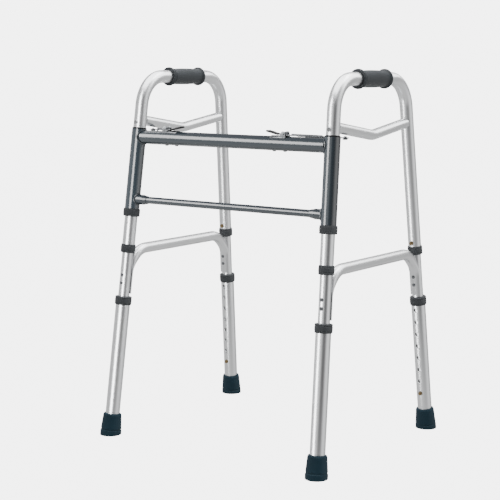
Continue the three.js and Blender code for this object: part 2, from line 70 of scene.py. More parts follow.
# ---------------------------------------------------------------- sizes, in millimetres
GAP = 0.3  # between pieces that touch
UPPER = {"outer": 12.7, "inner": 11.4, "bottom": 369.5}  # radii and the height of the open ends
MID = {"outer": 11.1, "inner": 9.8, "bottom": 62}
LEG = {"outer": 14.3, "inner": 12.8, "bottom": 10.5, "top": 273.8}
SLEEVE = {"outer": 14.6, "inner": 13.7, "bottom": 442, "top": 610}
TOP_HEIGHT = 713
TOP_BEND = 62
GRIP = {"length": 102, "flange": 18.8, "neck": 15.2, "belly": 16.4}
SIDE_BAR = {"radius": 10, "inner": 8.6, "ends": 626.7, "kink": 608.7, "bend": 70}
BRACE = {
    "radius": 10.6,
    "height": 368.8,
    "bottom": 282.5,
    "offset": 11.6,
    "bend": 48,
    "saddle": 3.0,
}
BRACE_RIVETS = (304.5, 320.5)
CROSSBAR = {"radius": 13.4, "inner": 12.1}
# The shown crossbar's square ends are this much shorter than the coped ones of the CAD. They still
# pierce the sleeves and, out of sight, 1.75 mm of the uprights that turn in them.
END_CUT = 5
LOWER_BAR = {"radius": 7, "inner": 5.8}
SADDLE = {"radius": 9.8, "neck": 7.9, "bore": 6.8}
COLLAR_HEIGHT = 17
UPPER_COLLAR = {"radius": 14.8, "bottom": 364.8, "lip": 3.6}
LEG_COLLAR = {"radius": 16.8, "bottom": 261, "lip": 3.6}
SLEEVE_COLLAR = {"radius": 16.7, "bottom": 437.3, "top": 452.8}
BUSH_TOP = 612.7
FOOT = {"bottom": 21.2, "top": 18.4, "height": 42.3}
HOLE = {"radius": 4.3, "pitch": 25, "count": 8, "lowest": 77.4}
UPPER_BUTTON = {"front": 428.5, "rear": 389}
COLLAR_BORE = 13.05  # of the bush and the collar that the upright turns in
RIVET_SPREAD = 12  # of a bracket's two rivets, to each side of its middle
SCREW_HEIGHT = 624.3
LEVER = {"bottom": 610, "plate": 1.3, "half": 6, "round": 7.6, "droop": math.radians(2)}

SMOOTH = math.radians(38)  # edges sharper than this stay sharp
ROUND = 56  # facets round a turned piece

# ---------------------------------------------------------------- places, read from the frame
joints = {joint["name"]: joint for joint in frame["joints"]}
mounts = {mount["name"]: Vector(mount["pos_m"]) for mount in frame["record"]["mounts"]}


def axes_to_matrix(origin, y, z):
    """A frame of reference with z as given and y as near as it can be to the one given."""
    z = z.normalized()
    x = y.cross(z).normalized()
    matrix = Matrix((x, z.cross(x), z)).transposed().to_4x4()
    matrix.translation = origin
    return matrix


def leg_frame(end, side):
    """Origin where the leg's axis meets the floor, z up the tube, y towards the walker's middle."""
    up = -Vector(joints[f"leg_length_{end}_{side}"]["axis"])
    inward = -Vector(joints[f"upper_button_press_{end}_{side}"]["axis"])
    return axes_to_matrix(mounts[f"foot_{end}_{side}_base"], inward, up)


def side_frame(side):
    """Middle plane of a side frame is x = 0, y runs aft, z up the splayed plane."""
    front = mounts[f"foot_front_{side}_base"]
    rear = mounts[f"foot_rear_{side}_base"]
    aft = (rear - front).normalized()
    across = aft.cross(legs["front", side].col[2].to_3d()).normalized()
    return axes_to_matrix((front + rear) / 2, aft, across.cross(aft))


legs = {(end, side): leg_frame(end, side) for end in ENDS for side in SIDES}
sides = {side: side_frame(side) for side in SIDES}


def along(end, side, height):
    """Distance in millimetres along a leg's axis to a height above the floor."""
    return height / legs[end, side].col[2].z


def on_axis(end, side, height):
    """Point of a leg's axis at a height, in the row frame, in metres."""
    return legs[end, side] @ Vector((0, 0, along(end, side, height) * MM))


def in_side(side, point):
    """A point of the row frame as (y, z) in a side frame's plane, in millimetres."""
    local = sides[side].inverted() @ point / MM
    return local.y, local.z


def box_centre(node):
    low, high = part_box(node)
    return (low + high) / 2


def pivot_of(side):
    """A release lever's pivot, in millimetres."""
    return Vector(joints[f"lever_press_{side}"]["pos_m"]) / MM


def bracket_x(side):
    return box_centre(f"lever_bracket_{side}").x / MM


crossbar = box_centre("main_crossbar") / MM


def in_millimetres(matrix):
    """The same matrix for meshes drawn in millimetres."""
    scaled = matrix.copy()
    scaled.translation = matrix.translation / MM
    return scaled


# ---------------------------------------------------------------- materials
def make_material(name, color, roughness, metallic=0.0, ior=1.5, grain=None, bump=0.0, spread=0.06):
    """Principled material whose colour and roughness vary with a noise, stretched by grain."""
    material = bpy.data.materials.new(name)
    material.use_nodes = True
    nodes, links = material.node_tree.nodes, material.node_tree.links
    shader = nodes["Principled BSDF"]
    shader.inputs["Metallic"].default_value = metallic
    shader.inputs["IOR"].default_value = ior
    place = nodes.new("ShaderNodeTexCoord")
    stretch = nodes.new("ShaderNodeMapping")
    stretch.inputs["Scale"].default_value = grain or (1, 1, 1)
    links.new(place.outputs["UV" if grain else "Object"], stretch.inputs["Vector"])
    noise = nodes.new("ShaderNodeTexNoise")
    noise.inputs["Scale"].default_value = 6 if grain else 900
    noise.inputs["Detail"].default_value = 4
    links.new(stretch.outputs["Vector"], noise.inputs["Vector"])
    clouds = nodes.new("ShaderNodeTexNoise")
    clouds.inputs["Scale"].default_value = 22
    clouds.inputs["Detail"].default_value = 3
    links.new(place.outputs["Object"], clouds.inputs["Vector"])
    tint = nodes.new("ShaderNodeMix")
    tint.data_type = "RGBA"
    tint.inputs["A"].default_value = (*(channel * (1 - spread) for channel in color), 1)
    tint.inputs["B"].default_value = (*(min(1, channel * (1 + spread)) for channel in color), 1)
    links.new(clouds.outputs["Fac"], tint.inputs["Factor"])
    links.new(tint.outputs["Result"], shader.inputs["Base Color"])
    polish = nodes.new("ShaderNodeMapRange")
    polish.inputs["To Min"].default_value = roughness * 0.8
    polish.inputs["To Max"].default_value = roughness * 1.25
    links.new(noise.outputs["Fac"], polish.inputs["Value"])
    links.new(polish.outputs["Result"], shader.inputs["Roughness"])
    if bump:
        relief = nodes.new("ShaderNodeBump")
        relief.inputs["Strength"].default_value = bump
        relief.inputs["Distance"].default_value = 0.15 * MM
        links.new(noise.outputs["Fac"], relief.inputs["Height"])
        links.new(relief.outputs["Normal"], shader.inputs["Normal"])
    return material


ALUMINIUM = make_material(
    "drawn_aluminium", (0.80, 0.81, 0.82), 0.30, 1.0, grain=(26, 0.6, 1), bump=0.04, spread=0.03
)
PAINT = make_material(
    "grey_blue_lacquer", (0.022, 0.032, 0.041), 0.2, ior=1.95, bump=0.004, spread=0.08
)
COLLAR = make_material(
    "collar_plastic", (0.056, 0.061, 0.066), 0.5, ior=1.4, bump=0.35, spread=0.2
)
GRIP_PLASTIC = make_material(
    "grip_plastic", (0.044, 0.050, 0.055), 0.5, ior=1.38, bump=0.5, spread=0.18
)
RUBBER = make_material(
    "foot_rubber", (0.008, 0.030, 0.046), 0.6, ior=1.33, bump=0.4, spread=0.25
)
BRASS = make_material("plated_brass", (0.30, 0.22, 0.12), 0.3, 1.0, bump=0.05, spread=0.15)
STEEL = make_material("zinc_plated_steel", (0.22, 0.23, 0.24), 0.4, 1.0, bump=0.06, spread=0.15)
SCREW_STEEL = make_material(
    "bright_zinc_plate", (0.56, 0.57, 0.58), 0.34, 1.0, bump=0.05, spread=0.12
)
BLACK = make_material("black_plastic", (0.003, 0.003, 0.0035), 0.4, ior=1.35, bump=0.2, spread=0.2)


# ---------------------------------------------------------------- meshes, drawn in millimetres
def to_mesh(bm):
    bmesh.ops.recalc_face_normals(bm, faces=bm.faces)
    mesh = bpy.data.meshes.new("shape")
    bm.to_mesh(mesh)
    bm.free()
    return mesh


def skin(rings, closed=True):
    """Joins rings of points one to the next. A ring of one point is a pole."""
    bm = bmesh.new()
    uv = bm.loops.layers.uv.new("around_along")
    loops = [[bm.verts.new(point) for point in ring] for ring in rings]
    spans = list(zip(loops, loops[1:] + loops[:1]))
    travelled = 0
    for place, (here, there) in enumerate(spans if closed else spans[:-1]):
        count = max(len(here), len(there))
        if count == 1:
            continue
        step = (there[0].co - here[0].co).length
        for i in range(count):
            j = (i + 1) % count
            near = [(here[0], 0.5)] if len(here) == 1 else [(here[i], i), (here[j], i + 1)]
            far = [(there[0], 0.5)] if len(there) == 1 else [(there[j], i + 1), (there[i], i)]
            face = bm.faces.new([corner[0] for corner in near + far])
            heights = [travelled] * len(near) + [travelled + step] * len(far)
            for loop, corner, height in zip(face.loops, near + far, heights):
                loop[uv].uv = (corner[1] / count, height / 100)
        travelled += step
    return to_mesh(bm)


def circle(radius, sides=ROUND):
    return [
        (radius * math.cos(2 * math.pi * i / sides), radius * math.sin(2 * math.pi * i / sides))
        for i in range(sides)
    ]


def rounded(outline, radius, steps=4, closed=True):
    """An outline of (u, v) points with its corners rounded, except at its two ends when open."""
    points = [Vector(point) for point in outline]
    result = []
    for i, corner in enumerate(points):
        if not closed and i in (0, len(points) - 1):
            result.append(tuple(corner))
            continue
        back = points[i - 1] - corner
        ahead = points[(i + 1) % len(points)] - corner
        half = back.angle(ahead) / 2
        if half > math.radians(88):
            result.append(tuple(corner))
            continue
        reach = min(radius / math.tan(half), 0.48 * back.length, 0.48 * ahead.length)
        start = corner + back.normalized() * reach
        end = corner + ahead.normalized() * reach
        for step in range(steps + 1):
            t = step / steps
            point = start * (1 - t) ** 2 + corner * (2 * t * (1 - t)) + end * t**2
            result.append(tuple(point))
    return result


def turned(profile, radius=0.5, solid=False, sides=ROUND):
    """Solid of revolution about Z with rounded edges, from (radius, z) pairs."""
    outline = rounded(profile, radius, closed=not solid)
    rings = [
        [(0, 0, z)] if r < 1e-6 else [(x, y, z) for x, y in circle(r, sides)] for r, z in outline
    ]
    return skin(rings, closed=not solid)


def pipe(outer, inner, low, high, radius=0.3):
    return turned([(outer, low), (outer, high), (inner, high), (inner, low)], radius)


def bent_path(corners, radius, arc_steps, straight_steps=1):
    """Points in the plane x = 0 through (y, z) corners, each inner corner turned into an arc."""
    corner = [Vector((0, y, z)) for y, z in corners]
    path = [corner[0]]

    def run_to(point):
        start = path[-1]
        path.extend(start.lerp(point, (i + 1) / straight_steps) for i in range(straight_steps))

    for before, here, after in zip(corner, corner[1:], corner[2:]):
        back = (before - here).normalized()
        ahead = (after - here).normalized()
        half = back.angle(ahead) / 2
        centre = here + (back + ahead).normalized() * radius / math.sin(half)
        spoke = here + back * radius / math.tan(half) - centre
        run_to(centre + spoke)
        sweep = math.pi - 2 * half
        for i in range(1, arc_steps + 1):
            turn = Matrix.Rotation(-sweep * i / arc_steps, 3, back.cross(ahead).normalized())
            path.append(centre + turn @ spoke)
    run_to(corner[-1])
    return path


def tangent(path, i):
    ahead = path[min(i + 1, len(path) - 1)] - path[i]
    behind = path[i] - path[max(i - 1, 0)]
    return (ahead.normalized() + behind.normalized()).normalized()


def swept_rings(path, section):
    """A ring at each point of a path in the plane x = 0, from section(i)'s (x, outward) points."""
    rings = []
    for i, centre in enumerate(path):
        outward = Vector((1, 0, 0)).cross(tangent(path, i))
        rings.append([centre + Vector((u, 0, 0)) + outward * v for u, v in section(i)])
    return rings


def bent_tube(path, outer, inner):
    outside = swept_rings(path, lambda i: circle(outer))
    inside = swept_rings(path, lambda i: circle(inner))
    return skin(outside + inside[::-1])


def plate(outline, depth, bevel=0.3):
    """A plate on the plane z = 0 with rounded edges."""
    bm = bmesh.new()
    base = bm.faces.new([bm.verts.new((x, y, 0)) for x, y in outline])
    raised = bmesh.ops.extrude_face_region(bm, geom=[base])["geom"]
    tops = [item for item in raised if isinstance(item, bmesh.types.BMVert)]
    bmesh.ops.translate(bm, vec=(0, 0, depth), verts=tops)
    bmesh.ops.recalc_face_normals(bm, faces=bm.faces)
    rims = [edge for edge in bm.edges if abs(edge.verts[0].co.z - edge.verts[1].co.z) < 1e-6]
    bmesh.ops.bevel(bm, geom=rims, offset=bevel, segments=2, affect="EDGES", profile=0.5)
    return to_mesh(bm)


def arc(x, y, radius, start, end, steps=10):
    """Points of an arc, with angles in degrees."""
    angles = [math.radians(start + (end - start) * i / steps) for i in range(steps + 1)]
    return [(x + radius * math.cos(a), y + radius * math.sin(a)) for a in angles]


def moved(mesh, matrix):
    mesh.transform(matrix)
    if matrix.determinant() < 0:
        mesh.flip_normals()
    return mesh


def joined(*meshes):
    bm = bmesh.new()
    for mesh in meshes:
        bm.from_mesh(mesh)
    mesh = bpy.data.meshes.new("shape")
    bm.to_mesh(mesh)
    bm.free()
    return mesh


def cut(mesh, *tools):
    """The mesh less the tools."""
    scene = bpy.context.scene.collection
    body = bpy.data.objects.new("body", mesh)
    cutter = bpy.data.objects.new("cutter", joined(*tools))
    scene.objects.link(body)
    scene.objects.link(cutter)
    modifier = body.modifiers.new("cut", "BOOLEAN")
    modifier.object = cutter
    modifier.solver = "EXACT"
    evaluated = body.evaluated_get(bpy.context.evaluated_depsgraph_get())
    result = bpy.data.meshes.new_from_object(evaluated)
    bpy.data.objects.remove(body)
    bpy.data.objects.remove(cutter)
    return result


def shift(x=0, y=0, z=0):
    return Matrix.Translation((x, y, z))


TO_Y = Matrix.Rotation(-math.pi / 2, 4, "X")  # turns +Z to +Y
TO_X = Matrix.Rotation(math.pi / 2, 4, "Y")  # turns +Z to +X


def rod(radius, low, high, sides=24):
    return turned([(0, low), (radius, low), (radius, high), (0, high)], 0, True, sides)


shown_pieces = []


def add(name, mesh, matrix, body, material, extra=False):
    """Places a mesh drawn in millimetres. It stands for the CAD node of its name, unless extra."""
    mesh.transform(Matrix.Scale(MM, 4))
    mesh.shade_smooth()
    mesh.set_sharp_from_angle(angle=SMOOTH)
    mesh.materials.clear()
    mesh.materials.append(material)
    mesh.name = name
    shown = bpy.data.objects.new(f"{name}_shown", mesh)
    shown.matrix_world = matrix
    bpy.context.scene.collection.objects.link(shown)
    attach(shown, body)
    if not extra:
        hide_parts(name)
    shown_pieces.append(shown)


# ---------------------------------------------------------------- legs
def button_hole(height, wall, radius=HOLE["radius"]):
    """Tool for a hole in the wall that faces the walker's middle."""
    return moved(rod(radius, wall - 6, wall + 4), shift(z=height) @ TO_Y)


def foot_mesh(end, side):
    """Ferrule with two rings at its base, cut level with the floor."""
    top = along(end, side, FOOT["height"])
    low, high = FOOT["bottom"], FOOT["top"]
    floor_of_tube = along(end, side, LEG["bottom"]) - GAP
    outline = [
        (0, -4),
        (low, -4),
        (low, 8.5),
        (low - 1.2, 9.6),
        (low - 1.2, 11.2),
        (low - 0.5, 12.4),
        (low - 0.9, 16.5),
        (high + 0.4, top - 8),
        (high, top - 3),
        (high - 1.4, top),
        (LEG["outer"] + GAP, top),
        (LEG["outer"] + GAP, floor_of_tube),
        (0, floor_of_tube),
    ]
    mesh = turned(outline, 0.9, solid=True)
    bm = bmesh.new()
    bm.from_mesh(mesh)
    local = legs[end, side].inverted()
    ground = {
        "plane_co": local @ mounts[f"foot_{end}_{side}_base"] / MM,
        "plane_no": local.to_3x3() @ Vector((0, 0, -1)),
    }
    everything = bm.verts[:] + bm.edges[:] + bm.faces[:]
    bmesh.ops.bisect_plane(bm, geom=everything, clear_outer=True, **ground)
    rim = [edge for edge in bm.edges if edge.is_boundary]
    bmesh.ops.contextual_create(bm, geom=rim)
    return to_mesh(bm)


def collar_mesh(collar, low, outside, inside, mouth_up):
    """Plastic collar with a grip band of shallow grooves, turned over when its mouth faces up."""
    radius = collar["radius"]
    height = COLLAR_HEIGHT
    outline = [
        (radius - 1.3, 0),
        (radius - 0.1, 1.6),
        (radius - 0.1, 3.4),
        (radius - 0.6, 3.9),
        (radius - 0.6, 4.5),
        (radius, 5),
        (radius, height - 4.4),
        (radius - 0.5, height - 3.9),
        (radius - 0.5, height - 3.3),
        (radius - 0.1, height - 2.8),
        (radius - 0.9, height),
        (outside, height),
        (outside, collar["lip"]),
        (inside, collar["lip"]),
        (inside, 0),
    ]
    mesh = turned(outline, 0.45)
    if mouth_up:
        mesh = moved(mesh, shift(z=height) @ Matrix.Rotation(math.pi, 4, "X"))
    return moved(mesh, shift(z=low))


def snap_button_mesh(end, side, height, wall, leaf_up):
    """Domed button on one arm of a V-shaped leaf spring."""
    tip = wall + 4.2
    shoulder = [(0, 6.8), (4.7, 6.8), (4.7, 7.8), (3.8, 7.8)]
    dome = [(3.8, tip - 1.2), (2.4, tip), (0, tip + 0.2)]
    button = turned(shoulder + dome, 0.6, solid=True, sides=28)
    leaf = [(3, 6.7), (-24, 0.9), (-4, -3.2), (-4, -4.1), (-27, 0.8), (3, 7.6)]
    spring = moved(plate(rounded(leaf, 0.5), 5, 0.1), shift(z=-2.5))
    turn = Matrix.Rotation((1 if leaf_up else -1) * math.pi / 2, 4, "Y")
    both = joined(moved(button, TO_Y), moved(spring, turn))
    return moved(both, shift(z=along(end, side, height)))


def rivet_mesh(head_at, side_of_tube):
    """Domed rivet head with its driven dimple, standing on the surface at the distance given."""
    dome = [(0, 1.9), (1.0, 1.9), (2.4, 1.5), (3.6, 0.4), (3.7, -0.6), (0, -0.6)]
    outwards = TO_Y if side_of_tube > 0 else TO_Y.inverted()
    return moved(turned(dome, 0.5, solid=True, sides=28), outwards @ shift(z=head_at))


for side in SIDES:
    for end in ENDS:
        place = f"{end}_{side}"
        leg = legs[end, side]
        holes = [
            button_hole(along(end, side, HOLE["lowest"]) + i * HOLE["pitch"], LEG["outer"])
            for i in range(HOLE["count"])
        ]
        tube = pipe(
            LEG["outer"],
            LEG["inner"],
            along(end, side, LEG["bottom"]),
            along(end, side, LEG["top"]),
        )
        add(f"leg_tube_{place}", cut(tube, *holes), leg, f"leg_{place}", ALUMINIUM)
        collar = collar_mesh(
            LEG_COLLAR,
            along(end, side, LEG_COLLAR["bottom"]),
            LEG["outer"] + GAP,
            MID["outer"] + GAP,
            mouth_up=True,
        )
        add(f"leg_collar_{place}", collar, leg, f"leg_{place}", COLLAR)
        add(f"foot_{place}", foot_mesh(end, side), leg, f"leg_{place}", RUBBER)

        inner = pipe(
            MID["outer"],
            MID["inner"],
            along(end, side, MID["bottom"]),
            along(end, side, UPPER_BUTTON[end] + 18),
        )
        passes = [
            button_hole(along(end, side, HOLE["lowest"]), MID["outer"]),
            button_hole(along(end, side, UPPER_BUTTON[end]), MID["outer"]),
        ]
        add(f"mid_tube_{place}", cut(inner, *passes), leg, f"side_{side}", ALUMINIUM)
        collar = collar_mesh(
            UPPER_COLLAR,
            along(end, side, UPPER_COLLAR["bottom"]),
            UPPER["outer"] + GAP,
            MID["outer"] + GAP,
            mouth_up=False,
        )
        add(f"upper_collar_{place}", collar, leg, f"side_{side}", COLLAR)
        saddle_face = MID["outer"] + GAP + BRACE["saddle"]
        rivets = [
            moved(rivet_mesh(reach, way), shift(z=along(end, side, height)))
            for height in BRACE_RIVETS
            for way, reach in ((1, saddle_face), (-1, MID["outer"]))
        ]
        add(f"brace_rivets_{place}", joined(*rivets), leg, f"side_{side}", STEEL)
        add(
            f"upper_button_{place}",
            snap_button_mesh(end, side, UPPER_BUTTON[end], UPPER["outer"], False),
            leg,
            f"upper_button_{place}",
            BRASS,
        )
        add(
            f"height_button_{place}",
            snap_button_mesh(end, side, HOLE["lowest"], LEG["outer"], True),
            leg,
            f"height_button_{place}",
            BRASS,
        )


# ---------------------------------------------------------------- side frames
def grip_mesh():
    """Barrel grip with a ring at each end and a second ring behind the front one."""
    half = GRIP["length"] / 2
    flange, neck, belly = GRIP["flange"], GRIP["neck"], GRIP["belly"]
    bore = UPPER["outer"] + GAP
    outline = [
        (flange - 0.9, -half),
        (flange, -half + 1.2),
        (flange, -half + 3.6),
        (neck, -half + 5.2),
        (neck, -half + 6.8),
        (belly + 0.5, -half + 8),
        (belly + 0.5, -half + 10.4),
        (neck + 0.2, -half + 11.6),
        (neck + 0.3, -half + 14),
    ]
    barrel = half - 14
    for step in range(1, 12):
        place = -barrel + 2 * barrel * step / 12
        outline.append((neck + 0.3 + (belly - neck - 0.3) * (1 - (place / barrel) ** 2), place))
    outline += [
        (neck + 0.3, half - 9),
        (neck, half - 6),
        (flange, half - 4),
        (flange, half - 1.2),
        (flange - 0.9, half),
        (bore, half),
        (bore, -half),
    ]
    return moved(turned(outline, 0.6, sides=72), TO_Y)


def upright_corner(end, side, height, offset=0):
    """(y, z) in the side's plane of a leg's axis at a height, moved to the middle by offset."""
    y, z = in_side(side, on_axis(end, side, height))
    return y - ENDS[end] * offset, z


def upper_tube_mesh(side):
    corners = [
        upright_corner("front", side, UPPER["bottom"]),
        upright_corner("front", side, TOP_HEIGHT),
        upright_corner("rear", side, TOP_HEIGHT),
        upright_corner("rear", side, UPPER["bottom"]),
    ]
    tube = bent_tube(bent_path(corners, TOP_BEND, 28), UPPER["outer"], UPPER["inner"])
    to_side = sides[side].inverted()
    tools = [
        moved(
            button_hole(along(end, side, UPPER_BUTTON[end]), UPPER["outer"]),
            in_millimetres(to_side @ legs[end, side]),
        )
        for end in ENDS
    ]
    return cut(tube, *tools)


def side_bar_mesh(side):
    ends = SIDE_BAR["ends"]
    _, kink = in_side(side, sides[side] @ Vector((0, 0, SIDE_BAR["kink"] * MM)))
    corners = [
        upright_corner("front", side, ends, UPPER["outer"] - 2),
        (0, kink),
        upright_corner("rear", side, ends, UPPER["outer"] - 2),
    ]
    path = bent_path(corners, SIDE_BAR["bend"], 14)
    return bent_tube(path, SIDE_BAR["radius"], SIDE_BAR["inner"])


def brace_section(flattened):
    """Round tube section at 0, thin saddle hugging the leg tube at 1. x across, v away from it."""
    reach = BRACE["offset"]
    hug = MID["outer"] + GAP
    section = []
    for i in range(ROUND):
        angle = 2 * math.pi * i / ROUND
        u, v = BRACE["radius"] * math.cos(angle), BRACE["radius"] * math.sin(angle)
        bend = u / BRACE["radius"] * math.radians(62)
        middle = hug + BRACE["saddle"] / 2
        thick = BRACE["saddle"] / 2 * max(-1, min(1, v / BRACE["radius"] * 1.6))
        flat_u = (middle + thick) * math.sin(bend)
        flat_v = (middle + thick) * math.cos(bend) - reach
        section.append((u + (flat_u - u) * flattened, v + (flat_v - v) * flattened))
    return section


def brace_mesh(side):
    offset = BRACE["offset"]
    corners = [
        upright_corner("front", side, BRACE["bottom"], offset),
        upright_corner("front", side, BRACE["height"], offset),
        upright_corner("rear", side, BRACE["height"], offset),
        upright_corner("rear", side, BRACE["bottom"], offset),
    ]
    path = bent_path(corners, BRACE["bend"], 20, straight_steps=8)
    top = path[len(path) // 2].z
    saddle_top, round_from = top - 46, top - 12  # the tube flattens between these heights

    def section(i):
        drop = (round_from - path[i].z) / (round_from - saddle_top)
        drop = max(0.0, min(1.0, drop))
        flattened = drop * drop * (3 - 2 * drop)
        return [(u, -v) for u, v in brace_section(flattened)]

    return skin([[path[0]]] + swept_rings(path, section) + [[path[-1]]], closed=False)


def screw_mesh():
    """Pan head with a cross recess, on a washer, its shank along +Y."""
    head = turned(
        [(0, -2.1), (2.6, -2.0), (4.1, -1.2), (4.6, 0), (2.6, 0), (2.6, 42), (0, 42)],
        0.4,
        solid=True,
        sides=36,
    )
    arm = [(0.5, 0.5), (0.5, 2.7), (-0.5, 2.7)]
    cross = [
        tuple(Matrix.Rotation(math.pi / 2 * quarter, 2) @ Vector(point))
        for quarter in range(4)
        for point in arm
    ]
    recess = moved(plate(cross, 1.9, 0.05), shift(z=-2.8))
    return moved(cut(head, recess), TO_Y)


for side in SIDES:
    body = f"side_{side}"
    plane = sides[side]
    add(f"upper_tube_{side}", upper_tube_mesh(side), plane, body, ALUMINIUM)
    grip_place = plane @ shift(z=in_side(side, on_axis("front", side, TOP_HEIGHT))[1] * MM)
    add(f"hand_grip_{side}", grip_mesh(), grip_place, body, GRIP_PLASTIC)
    add(f"side_bar_{side}", side_bar_mesh(side), plane, body, ALUMINIUM)
    add(f"brace_{side}", brace_mesh(side), plane, body, ALUMINIUM)
    y, z = upright_corner("front", side, SCREW_HEIGHT, -UPPER["outer"] - GAP - 0.7)
    screw_place = plane @ shift(y=y * MM, z=z * MM)
    add(f"side_bar_screw_{side}", screw_mesh(), screw_place, body, SCREW_STEEL)


# ---------------------------------------------------------------- front frame
def bar_mesh(radius, inner, half):
    return moved(pipe(radius, inner, -half, half), TO_X)


def weld_mesh(side, height, radius):
    """Rippled weld bead where a crossbar meets its sleeve, in the row frame."""
    axis_point = on_axis("front", side, height) / MM
    axis = legs["front", side].col[2].to_3d()
    centres = []
    steps = 72
    for i in range(steps):
        angle = 2 * math.pi * i / steps
        start = Vector((0, math.cos(angle) * radius, math.sin(angle) * radius))
        across = Vector((SIDES[side], 0, 0))
        flat = across - axis * axis.dot(across)
        offset = start - axis * axis.dot(start)
        a, b = flat.dot(flat), flat.dot(offset)
        c = offset.dot(offset) - (SLEEVE["outer"] + 0.4) ** 2
        reach = (-b - math.sqrt(max(b * b - a * c, 0))) / a
        centres.append(axis_point + start * 1.03 + across * reach)
    rings = []
    for i, centre in enumerate(centres):
        forward = (centres[(i + 1) % steps] - centres[i - 1]).normalized()
        outward = (centre - Vector((centre.x, axis_point.y, axis_point.z))).normalized()
        third = forward.cross(outward).normalized()
        bead = 1.7 + 0.22 * math.cos(math.pi * i)
        rings.append([centre + outward * u + third * v for u, v in circle(bead, 14)])
    return skin(rings)


def bracket_mesh(side):
    """Sheet-metal saddle with two ears, and its rivets, about the crossbar's axis."""
    radius = CROSSBAR["radius"] + GAP
    plate_depth = LEVER["plate"]
    half = 17
    outside = arc(0, 0, radius + plate_depth, 46, 134, 16)
    inside = arc(0, 0, radius, 134, 46, 16)
    along_x = TO_X @ Matrix.Rotation(math.pi / 2, 4, "Z")
    saddle = moved(plate(outside + inside, 2 * half, 0.3), shift(x=-half) @ along_x)
    pivot = pivot_of(side)
    ear_x = pivot.x - bracket_x(side)
    ear_z = pivot.z - crossbar.z
    ear = [(-6, 12), (6, 12)] + arc(0, ear_z, 4.4, 0, 180)
    pieces = [saddle]
    for face in (-1, 1):
        stand = Matrix.Rotation(math.pi / 2, 4, "X")
        pieces.append(
            moved(plate(ear, plate_depth, 0.3), shift(ear_x, face * 8 + plate_depth / 2, 0) @ stand)
        )
    for place in (-RIVET_SPREAD, RIVET_SPREAD):
        tail = [(0, -1.7), (2.2, -1.6), (3.6, -0.5), (3.7, 0.6), (0, 0.6)]
        rivet = turned(tail, 0.5, solid=True, sides=28)
        pieces.append(moved(rivet, shift(place, 0, -radius + GAP)))
    return joined(*pieces)


def lever_mesh(side):
    """Strip to the lock pin, pivot eye and raised finger tab, about the pivot; x runs outwards."""
    pivot = pivot_of(side)
    pin = box_centre(f"lock_pin_{side}") / MM
    reach, back = abs(pin.x - pivot.x), pin.y - pivot.y
    half = LEVER["half"]
    slant = math.atan2(back, reach)
    sine, cosine = math.sin(slant), math.cos(slant)
    lean = math.degrees(slant)
    outline = [(-13, -half), (8, -half), (reach + half * sine, back - half * cosine)]
    outline += arc(reach, back, LEVER["round"], lean - 57, lean + 57, 14)
    outline += [(reach - half * sine, back + half * cosine), (7, half), (-13, half)]
    drop = LEVER["bottom"] - pivot.z
    strip = moved(
        plate(outline, LEVER["plate"], 0.3),
        shift(z=drop) @ Matrix.Rotation(LEVER["droop"], 4, "Y"),
    )
    rib = moved(
        plate([(14, 1.2), (reach - 14, back - 4), (reach - 15, back - 1.4), (13, 3.8)], 1.2, 0.4),
        shift(z=drop + LEVER["plate"] - 0.5) @ Matrix.Rotation(LEVER["droop"], 4, "Y"),
    )
    length = math.hypot(reach, back) - 38
    # The front flange stands up and the rear one hangs down, clear of the side bar as it folds.
    front = [(10, 0), (34, 0), (42, -1.6), (length, -1.6), (length - 3, 4.4), (13, 4.4)]
    rear = [(22, -1.5), (length, -1.5), (length - 3, 1.7), (22, 1.7)]
    flanges = [
        moved(
            plate(flange, 1.1, 0.3),
            shift(z=drop - 0.6)
            @ Matrix.Rotation(LEVER["droop"], 4, "Y")
            @ Matrix.Rotation(slant, 4, "Z")
            @ shift(y=edge)
            @ Matrix.Rotation(math.pi / 2, 4, "X"),
        )
        for edge, flange in ((-half + 1.2, front), (half - 0.1, rear))
    ]
    eye = moved(pipe(3.4, 2.1, -5.5, 5.5), TO_Y)
    mesh = joined(strip, rib, eye, *flanges)
    return moved(mesh, Matrix.Scale(-1, 4, (1, 0, 0))) if SIDES[side] < 0 else mesh


def tab_mesh(side):
    """Finger tab with ridges across it, tilted up from the pivot."""
    half = LEVER["half"] + 1.5
    pad = [(1, -half + 1.5), (1, half - 1.5), (-6, half)]
    pad += arc(-22, 0, half, 90, 270, 14) + [(-6, -half)]
    ridges = [
        moved(plate([(-1, -5.4), (0.6, -5.4), (0.6, 5.4), (-1, 5.4)], 1.0, 0.3), shift(x, 0, 2.3))
        for x in (-24, -20.5, -17, -13.5)
    ]
    pivot = pivot_of(side)
    tilt = Matrix.Rotation(math.radians(12), 4, "Y")
    mesh = joined(plate(rounded(pad, 1.0), 2.4, 0.6), *ridges)
    mesh = moved(mesh, shift(-12.6, 0, LEVER["bottom"] - pivot.z + 0.1) @ tilt)
    return moved(mesh, Matrix.Scale(-1, 4, (1, 0, 0))) if SIDES[side] < 0 else mesh


def lock_pin_mesh(side):
    low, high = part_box(f"lock_pin_{side}")
    height = (high.z - low.z) / MM
    return turned(
        [
            (0, 0),
            (3.6, 0),
            (5, 1.2),
            (5, 2.6),
            (3, 2.6),
            (3, height - 0.8),
            (2.2, height),
            (0, height),
        ],
        0.4,
        solid=True,
        sides=32,
    )


crossbar_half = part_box("main_crossbar")[1].x / MM - END_CUT
add(
    "main_crossbar",
    bar_mesh(CROSSBAR["radius"], CROSSBAR["inner"], crossbar_half),
    Matrix.Translation(crossbar * MM),
    "front_frame",
    PAINT,
)
lower_bar = box_centre("lower_crossbar")
lower_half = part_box("lower_crossbar")[1].x / MM
add(
    "lower_crossbar",
    bar_mesh(LOWER_BAR["radius"], LOWER_BAR["inner"], lower_half),
    Matrix.Translation(lower_bar),
    "front_frame",
    PAINT,
)

